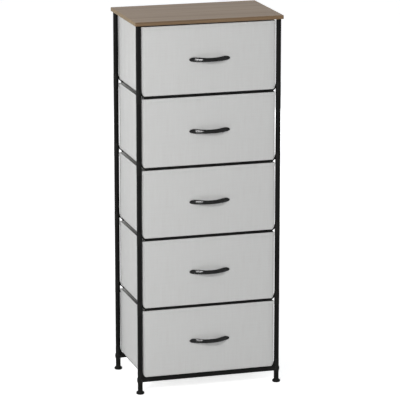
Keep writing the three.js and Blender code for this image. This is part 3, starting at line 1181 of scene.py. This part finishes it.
@dataclass
class FabricDrawer:
    """Sewn cloth box with its pocket liner, the stitches of its hem and its two boards."""

    finishes: Finishes
    number: int
    wall: float = 3 * MM
    front_skin: float = 1.7 * MM
    corner_radius: float = 4.2 * MM
    back_corner_radius: float = 2.5 * MM
    least_radius: float = 0.5 * MM
    side_fold: float = 4.5 * MM
    front_fold: float = 3 * MM
    fold_gap: float = 2 * MM
    base_inset: float = 14 * MM
    inner_fold: float = 6 * MM
    floor_inset: float = 8 * MM
    rim: float = 1.3 * MM
    rim_start: float = 0.2
    hem_height: float = 13 * MM
    hem_step: float = 0.5 * MM
    hem_blend: float = 0.8 * MM
    hem_clear: float = 3 * MM
    side_hollow: float = 0.9 * MM
    hollow_powers: tuple[float, float] = (0.8, 1.5)
    edge_roll: float = 1.3 * MM
    edge_roll_width: float = 22 * MM
    low_roll_share: float = 0.25
    swell_limit: float = 0.7 * MM
    front_flatness: float = 0.7
    side_proud: float = 4.6 * MM
    side_tuck: tuple[float, float] = (0.5 * MM, 12.5 * MM)
    seam_step: float = 1.6 * MM
    seam_width: float = 1.0 * MM
    pucker: float = 0.62 * MM
    # Each fold wave: its strength, radians per metre, lean and share of the drawer's own phase.
    fold_waves: tuple[tuple[float, float, float, float], ...] = (
        (0.6, 307, 1.3, 1), (0.7, 131, -1.6, 2), (0.8, 71, 2.2, -1))
    fold_phase: float = 1.7
    fold_sway: tuple[float, float] = (0.2, 3.0)
    front_folds: float = 0.1
    liner_gap: float = 0.25 * MM
    liner_thickness: float = 1.6 * MM
    liner_drop: float = 1 * MM
    liner_power: float = 6.0
    stitch_place: float = 2.2 * MM
    stitch_pitch: float = 5 * MM
    stitch_length: float = 3.6 * MM
    stitch_radius: float = 0.35 * MM
    stitch_proud: float = 0.15
    stitch_tip: float = 0.06
    sharp: float = 60.0

    def __post_init__(self) -> None:
        """Names the drawer's body, reads its box and chooses the plan that its loops share."""
        self.body = f"drawer_{self.number}"
        self.low, self.high = Box.of(self.body + "_fabric")
        self.plan = LoopPlan()

    def build(self) -> None:
        """Builds the drawer's pieces."""
        self._shell()
        self._liner()
        self._stitches()
        self._boards()

    def _outer(self, inset: float = 0.0) -> Array:
        """Samples the outer outline of the cloth.

        Args:
            inset: How far it is drawn in.

        Returns:
            Points as samples by 2.
        """
        low, high = self.low, self.high
        radii = [max(radius - inset, self.least_radius) for radius in (self.corner_radius, self.back_corner_radius)]
        return self.plan.loop((low.x + inset, low.y + inset), (high.x - inset, high.y - inset), *radii)

    def _inner(self, inset: float = 0.0) -> Array:
        """Samples the inner outline of the cloth.

        Args:
            inset: How far it is drawn in.

        Returns:
            Points as samples by 2.
        """
        low, high, drawn = self.low, self.high, self.wall + inset
        radius = max(self.corner_radius - drawn, self.least_radius)
        return self.plan.loop((low.x + drawn, low.y + self.front_skin + inset), (high.x - drawn, high.y - drawn),
                              radius, radius)

    def _slack(self, loop: Array, height: Array) -> Array:
        """Works out how far the cloth stands out of its flat plane.

        The sides and the back hollow by powers of a half sine, up the wall and along it. The front
        falls back towards its two upright edges by the square of the share of the roll's width,
        and by a quarter of that towards its lower edge. Its turned-in edge is sewn over the rounded
        corners, which lie lower by the seam's step. The sides and the back carry shallow upright
        folds, and the front much fainter ones. The folds are sums of three sine waves along the
        cloth, which lean a little and fade towards the rim and the bottom.

        Args:
            loop: A loop of the plan, as samples by 2.
            height: Heights up the wall.

        Returns:
            Distances in metres, as heights by samples.
        """
        low, high = self.low, self.high
        share_x = (loop[:, 0] - low.x) / (high.x - low.x)
        share_y = (loop[:, 1] - low.y) / (high.y - low.y)
        share_z = ((height - low.z) / (high.z - low.z))[:, None]
        outward = self.plan.outward(loop)
        side = outward[:, 0] ** 4
        front = np.clip(-outward[:, 1], 0, 1) ** 4
        back = np.clip(outward[:, 1], 0, 1) ** 4
        rise = np.sin(math.pi * np.clip(share_z, 0, 1)) ** self.hollow_powers[0]
        bow_x = np.sin(math.pi * np.clip(share_x, 0, 1))[None, :]
        bow_y = np.sin(math.pi * np.clip(share_y, 0, 1))[None, :]
        shape = -self.side_hollow * rise * (side * bow_y ** self.hollow_powers[1] + back * bow_x)
        from_edge = np.minimum(loop[:, 0] - low.x, high.x - loop[:, 0])
        corner = 1 - smooth_step(from_edge, self.corner_radius, self.corner_radius + self.seam_width)
        roll_x = np.clip(1 - from_edge / self.edge_roll_width, 0, 1)[None, :] ** 2
        roll_z = np.clip(1 - (height - low.z) / self.edge_roll_width, 0, 1)[:, None] ** 2
        roll = self.edge_roll * (roll_x + self.low_roll_share * roll_z)
        shape = shape - front * (roll + self.seam_step * corner)
        phase = self.number * self.fold_phase
        run = loop[:, 0] + loop[:, 1]
        sway, turns = self.fold_sway
        lean = share_z + sway * np.sin(turns * share_z + phase)
        folds = sum(strength * np.sin(wave * run + tilt * lean + turn * phase)
                    for strength, wave, tilt, turn in self.fold_waves)
        fade = rise**0.5 * (side + back + front * self.front_folds)
        return shape + self.pucker * folds * fade

    def _heights(self, bottom: float, top: float) -> Array:
        """Spaces heights up a wall, with a few close together just under the hem.

        Args:
            bottom: The lowest.
            top: The highest.

        Returns:
            The heights, rising.
        """
        hem = top - self.hem_height
        close = hem + np.array([-1, 0, 1]) * self.hem_blend
        plain = np.linspace(bottom, hem - self.hem_clear, 34)
        upper = np.linspace(hem + self.hem_clear, top, 5)
        return np.concatenate([plain, close, upper])

    def _below_hem(self, heights: Array) -> Array:
        """Falls from 1 under the hem to 0 in it by a smooth step, as a column of heights."""
        hem = self.high.z - self.hem_height
        return 1 - smooth_step(heights, hem - self.hem_blend, hem + self.hem_blend)[:, None]

    def _shell(self) -> None:
        """Carries one profile round the drawer: under, up the outside, over the rim, down the inside.

        Each row of the grid is a loop of the plan at one height. The cloth stands out along the
        loop's own normal by its slack, and by the hem's step near the rim. The fold along the
        bottom and the one inside are quarter circles, the outer one wider under the sides, and the
        rim is half an ellipse.
        """
        low, rim_base = self.low.z, self.high.z - self.rim
        floor = low + self.wall
        outer, inner = self._outer(), self._inner()
        out_normal, in_normal = self.plan.outward(outer), self.plan.outward(inner)

        fold = self.front_fold + (self.side_fold - self.front_fold) * np.abs(out_normal[:, 0]) ** 2
        angle = np.linspace(0, QUARTER, 7)[:, None]
        inset = fold * (1 - np.sin(angle)) + self.hem_step
        under = stand(outer - out_normal * inset[..., None], low + fold * (1 - np.cos(angle)))

        heights = self._heights(low + self.side_fold + self.fold_gap, rim_base)
        step = self.hem_step * (1 - self.front_flatness * np.clip(-out_normal[:, 1], 0, 1) ** 4)
        offset = np.minimum(self._slack(outer, heights) - step * self._below_hem(heights), self.swell_limit)
        outside = stand(outer + out_normal * offset[..., None], heights[:, None])

        angle = np.linspace(self.rim_start, math.pi - self.rim_start, 6)[:, None, None]
        share = (1 - np.cos(angle)) / 2
        over = stand(outer * (1 - share) + inner * share, rim_base + self.rim * np.sin(angle[..., 0]))

        heights = self._heights(floor + self.inner_fold, rim_base)[::-1]
        offset = np.minimum(self._slack(inner, heights), 0) + self.hem_step * self._below_hem(heights)
        inside = stand(inner + in_normal * offset[..., None], heights[:, None])

        angle = np.linspace(0, QUARTER, 5)[1:, None, None]
        foot = stand(inner - in_normal * (self.inner_fold * (1 - np.cos(angle))),
                     floor + self.inner_fold * (1 - np.sin(angle[..., 0])))

        first, last = stand(self._outer(self.base_inset)[None], low), stand(self._inner(self.floor_inset)[None], floor)
        points = self._spread(np.concatenate([first, under, outside, over, inside, foot, last]))
        shell = surface(self.body + "_cloth", points, caps=True, uv=self._cloth_places(points), sharp=self.sharp)
        seat(shell, self.body, [self.finishes.cloth], [self.body + "_fabric"])

    def _spread(self, points: Array) -> Array:
        """Lets the soft sides stand out beside the posts, above the connectors' arms.

        X is scaled about the middle, so that the half width grows by a smooth step of the height.

        Args:
            points: Points on the drawer's cloth, as any array by 3.

        Returns:
            The points, moved in X.
        """
        low, high = self.low, self.high
        middle, half = (low.x + high.x) / 2, (high.x - low.x) / 2
        share = smooth_step(points[..., 2], low.z + self.side_tuck[0], low.z + self.side_tuck[1])
        spread = points.copy()
        spread[..., 0] = middle + (points[..., 0] - middle) * (1 + self.side_proud * share / half)
        return spread

    @staticmethod
    def _cloth_places(points: Array) -> Array:
        """Measures along the cloth: round the loop and up the profile, in metres.

        Args:
            points: The shell's grid.

        Returns:
            UV places with one more column, where the loop closes.
        """
        run = running_length(closed(points[len(points) // 4]))
        rise = running_length(points[:, 0])
        return np.stack(np.broadcast_arrays(run[None, :], rise[:, None]), axis=-1)

    def _liner(self) -> None:
        """Lofts the flat pocket of doubled cloth that holds the front board, all in one grid.

        Its section is a superellipse, the same all along X.
        """
        front = Box.of(self.body + "_front_board").high.y + self.liner_gap
        across = np.linspace(self.low.x + self.wall, self.high.x - self.wall, 60)
        bottom, top = self.low.z + self.wall, self.high.z - self.liner_drop
        flat, tall = superellipse(full_turn(40), self.liner_power)
        depth = front + self.liner_thickness / 2 * (1 + flat)
        height = (bottom + top) / 2 + tall * (top - bottom) / 2
        grid = np.broadcast_arrays(across[:, None], depth[None, :], height[None, :])
        points = self._spread(np.stack(grid, axis=-1))
        uv = np.concatenate([points, points[:, :1]], axis=1)[..., ::2]
        liner = surface(self.body + "_pocket_liner", points, caps=True, uv=uv, sharp=self.sharp)
        seat(liner, self.body, [self.finishes.cloth], [self.body + "_fabric"])

    def _stitches(self) -> None:
        """Sets one row of stitches along the hem, each a spindle of six sides.

        A spindle's radius is a half sine of the share of its length. Every stitch is the same
        spindle, moved to its place on the slack cloth and turned along the loop, as one array.
        """
        height = self.high.z - self.hem_height + self.stitch_place
        outer = self._outer()
        slack = np.minimum(self._slack(outer, np.array([height]))[0], self.swell_limit)
        loop = closed(outer + self.plan.outward(outer) * (slack + self.stitch_radius * self.stitch_proud)[:, None])
        run = running_length(loop)
        count = int(run[-1] / self.stitch_pitch)
        middle = (np.arange(count) + 0.5) * run[-1] / count
        first, last = (np.stack([np.interp(middle + reach, run, loop[:, k]) for k in (0, 1)], axis=1)
                       for reach in (-self.stitch_length / 2, self.stitch_length / 2))
        share = np.linspace(self.stitch_tip, 1 - self.stitch_tip, 5)
        turn = full_turn(6)
        along = first[:, None, :] * (1 - share)[None, :, None] + last[:, None, :] * share[None, :, None]
        direction = (last - first) / np.linalg.norm(last - first, axis=1, keepdims=True)
        outward = np.stack([direction[:, 1], -direction[:, 0]], axis=1)
        radius = self.stitch_radius * np.sin(math.pi * share)
        out = radius[None, :, None] * np.cos(turn)
        up = radius[None, :, None] * np.sin(turn)
        flat = along[:, :, None, :] + out[..., None] * outward[:, None, None, :]
        level = np.broadcast_to(height + up, flat.shape[:3])
        self._spindles(self._spread(np.concatenate([flat, level[..., None]], axis=-1)))

    def _spindles(self, points: Array) -> None:
        """Makes one mesh of many closed spindles, with a face at each end.

        Args:
            points: Stitches by rings by sides by 3.
        """
        count, rings, sides = points.shape[:3]
        index = np.arange(count * rings * sides).reshape(count, rings, sides)
        ahead = np.roll(index, -1, axis=2)
        quads = np.stack([index[:, :-1], ahead[:, :-1], ahead[:, 1:], index[:, 1:]], axis=-1).reshape(-1, 4)
        faces = quads.tolist() + index[:, 0, ::-1].tolist() + index[:, -1].tolist()
        name = self.body + "_hem_stitches"
        mesh = bpy.data.meshes.new(name)
        mesh.from_pydata(points.reshape(-1, 3).tolist(), [], faces)
        mesh.uv_layers.new(name="UVMap").data.foreach_set("uv", np.zeros(len(mesh.loops) * 2))
        seat(place_mesh(name, mesh), self.body, [self.finishes.stitch])

    def _boards(self) -> None:
        """Gives the two boards, which keep the frame's own shape, their bare fibreboard face."""
        for node in (self.body + "_front_board", self.body + "_bottom_board"):
            board = bpy.data.objects[node]
            board.data.materials.clear()
            board.data.materials.append(self.finishes.fibreboard)


@dataclass
class BowHandle:
    """Polished handle of a drawer, with the heads of the two screws that hold it from inside."""

    finishes: Finishes
    number: int
    pad_thickness: float = 4.0 * MM
    band_thickness: float = 4.6 * MM
    tip_start: float = 50 * MM
    tip_power: float = 0.7
    bow_half: float = 54 * MM
    ramp_start: float = 34 * MM
    pad_blend: float = 3 * MM
    reach_spare: float = 0.6 * MM
    end_height: float = 14 * MM
    middle_height: float = 12.4 * MM
    leaf_start: float = 6 * MM
    leaf_place: float = 50 * MM
    section_power: float = 2.3
    tilt: float = 15.0
    tilt_share: float = 0.3
    screw_place: float = 55 * MM
    screw_seat: float = 1.9 * MM
    head_radius: float = 4.2 * MM
    head_height: float = 2.2 * MM
    head_rim: float = 0.2 * MM

    def build(self) -> None:
        """Builds the handle and its screws."""
        self.body = f"drawer_{self.number}"
        self.node = self.body + "_handle"
        self.box = Box.of(self.node)
        self._bow()
        self._screws()

    def _bow(self) -> None:
        """Lofts the bow along its length.

        The steepness of the bow's line grows from the middle by a smooth step, stays even along
        the leaf and ends by another smooth step where the leaf lies on the drawer. The line is its
        running sum. Each section is a superellipse across that line, leaned back by the tilt where
        the bow stands out. Its height swells to a leaf near both ends, and height and thickness
        close at the tips along a quarter ellipse.
        """
        (half, _, _), (middle_x, _, middle_z) = self.box.half, self.box.middle
        base, reach = self.box.high.y, self.box.high.y - self.box.low.y
        x = half * np.sin(np.linspace(-QUARTER, QUARTER, 121))
        away = np.abs(x)
        ends = smooth_step(away, self.bow_half - self.pad_blend, self.bow_half + self.pad_blend)
        steep = -np.sign(x) * smooth_step(away, 0, self.ramp_start) * (1 - ends)
        rise = np.concatenate([[0], np.cumsum((steep[1:] + steep[:-1]) / 2 * np.diff(x))])
        rise = rise / rise.max()
        pad = self.pad_thickness / 2
        out = pad + (reach - pad - self.band_thickness / 2 - self.reach_spare) * rise
        slope = np.gradient(out, x)
        normal = np.stack([-slope, -np.ones_like(slope)], axis=1)
        normal = normal / np.linalg.norm(normal, axis=1, keepdims=True)
        tip = np.clip((away - self.tip_start) / (half - self.tip_start), 0, 1)
        close = np.sqrt(np.clip(1 - tip**2, 0, 1))
        swell = smooth_step(away, self.leaf_start, self.leaf_place)
        height = (self.middle_height + (self.end_height - self.middle_height) * swell) * close
        thick = (self.band_thickness + (self.pad_thickness - self.band_thickness) * swell) * close**self.tip_power
        across, up = superellipse(full_turn(32), self.section_power)
        lean = math.radians(self.tilt) * smooth_step(rise, 0, self.tilt_share)[:, None]
        depth = across * thick[:, None] / 2
        tall = up * height[:, None] / 2
        line = np.stack([middle_x + x, base - out], axis=1)
        flat = line[:, None, :] + normal[:, None, :] * (depth * np.cos(lean) - tall * np.sin(lean))[..., None]
        flat[..., 1] = np.minimum(flat[..., 1], base)
        bow = surface("dressed_" + self.node, stand(flat, middle_z + depth * np.sin(lean) + tall * np.cos(lean)))
        seat(bow, self.body, [self.finishes.gloss], [self.node])

    def _screws(self) -> None:
        """Turns the round heads of the two screws, which bear on the pocket liner in the drawer.

        A head's section is a quarter ellipse over a short upright rim.
        """
        face = Box.of(self.body + "_front_board").high.y + self.screw_seat
        angle = np.linspace(0, QUARTER, 7)
        head = np.stack([self.head_radius * np.cos(angle), face + self.head_height * np.sin(angle)], axis=1)
        head[-1, 0] = 0
        back = face - self.head_rim
        profile = np.concatenate([[[0, back], [self.head_radius, back]], head])
        x, _, z = self.box.middle
        for side, sign in (("left", -1), ("right", 1)):
            centre = (x + sign * self.screw_place, 0, z)
            screw = revolve(f"{self.node}_screw_{side}", profile, centre, "y", 24)
            seat(screw, self.body, [self.finishes.screw])


@dataclass(frozen=True)
class SoftLight:
    """A rectangular soft light with its place, its width and height, and its watts."""

    name: str
    place: Point
    size: tuple[float, float]
    power: float

    def hang(self, target: Point) -> None:
        """Hangs the light in the scene.

        Args:
            target: The point that it is aimed at.
        """
        data = bpy.data.lights.new(self.name, "AREA")
        data.shape = "RECTANGLE"
        data.size, data.size_y = self.size
        data.energy = self.power
        lamp = bpy.data.objects.new(self.name, data)
        lamp.location = self.place
        x, y, z = np.asarray(target) - np.asarray(self.place)
        lamp.rotation_euler = Euler((math.atan2(math.hypot(x, y), -z), 0, math.atan2(y, x) - QUARTER))
        lamp.visible_camera = False
        bpy.context.scene.collection.objects.link(lamp)


@dataclass
class Studio:
    """Camera at the photograph's angle, soft lights and a white floor and background."""

    camera_place: Point = (-2.2921, -7.7638, 2.5794)
    camera_yaw: float = 16.51
    camera_pitch: float = 13.82
    focal_pixels: float = 2610.15
    frame_pixels: float = 400.0
    sensor: float = 36.0
    lights: tuple[SoftLight, ...] = (
        SoftLight("key_softbox", (-2.85, -3.5, 1.55), (0.6, 0.8), 27.0),
        SoftLight("high_softbox", (-2.58, -3.4, 2.6), (0.6, 0.55), 84.0),
        SoftLight("left_softbox", (-4.2, 0.6, 1.7), (2.4, 2.6), 6.0),
        SoftLight("near_left_strip", (-0.95, -0.28, 0.98), (0.3, 1.3), 2.3),
        SoftLight("back_softbox", (2.4, 3.4, 0.6), (2.8, 1.1), 24.0),
        SoftLight("front_fill", (0.6, -4.8, 1.6), (3.0, 2.2), 8.0),
        SoftLight("top_softbox", (0.0, -0.6, 3.6), (2.6, 2.6), 7.0),
    )
    light_target: Point = (0.0, 0.0, 0.6)
    ambient: float = 0.33
    floor_half: float = 40.0

    def build(self) -> None:
        """Sets the view, the lights, the floor and the world."""
        scene = bpy.context.scene
        scene.view_settings.view_transform = "Standard"
        self._camera(scene)
        for light in self.lights:
            light.hang(self.light_target)
        self._world(scene)
        self._floor()

    def _camera(self, scene: bpy.types.Scene) -> None:
        """Places the camera by its fitted place, yaw, pitch and focal length in pixels.

        Args:
            scene: The scene that looks through it.
        """
        data = bpy.data.cameras.new("camera")
        data.sensor_width = self.sensor
        data.lens = self.focal_pixels / self.frame_pixels * self.sensor
        data.clip_end = 100
        camera = bpy.data.objects.new("camera", data)
        camera.location = self.camera_place
        camera.rotation_euler = Euler((math.radians(90 - self.camera_pitch), 0, math.radians(-self.camera_yaw)))
        scene.collection.objects.link(camera)
        scene.camera = camera

    def _world(self, scene: bpy.types.Scene) -> None:
        """Lights softly from all round and shows white to the camera.

        Args:
            scene: The scene that the world belongs to.
        """
        world = bpy.data.worlds.new("studio")
        scene.world = world
        world.use_nodes = True
        tree = world.node_tree
        tree.nodes.clear()
        ambient = add_node(tree, "Background", {"Color": linear("#f4f6fa"), "Strength": self.ambient})
        white = add_node(tree, "Background", {"Color": linear("#ffffff"), "Strength": 1.0})
        mix = add_node(tree, "MixShader",
                       links={0: background_share(tree), 1: ambient.outputs[0], 2: white.outputs[0]})
        add_node(tree, "OutputWorld", links={"Surface": mix.outputs[0]})

    def _floor(self) -> None:
        """Lays a wide pale floor that looks white but keeps a faint shadow."""
        share = np.linspace(-self.floor_half, self.floor_half, 3)
        grid = np.stack(np.meshgrid(share, share, [0.0], indexing="ij"), axis=-1).reshape(3, 3, 3)
        floor = surface("floor", grid, wrap_columns=False)
        floor.data.flip_normals()
        floor.data.materials.append(WhiteFloorPaint().material("white_painted_floor"))


def main() -> None:
    """Loads the frame, sets the studio and builds every piece."""
    logging.basicConfig(level=logging.INFO, format="%(name)s %(message)s")
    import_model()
    Studio().build()
    finishes, sizes = Finishes(), FrameSizes()
    TopBoard(finishes).build()
    FramePosts(finishes, sizes).build()
    FrameLevels(finishes, sizes).build()
    for number in range(1, DRAWERS + 1):
        FabricDrawer(finishes, number).build()
        BowHandle(finishes, number).build()


if __name__ == "__main__":
    main()
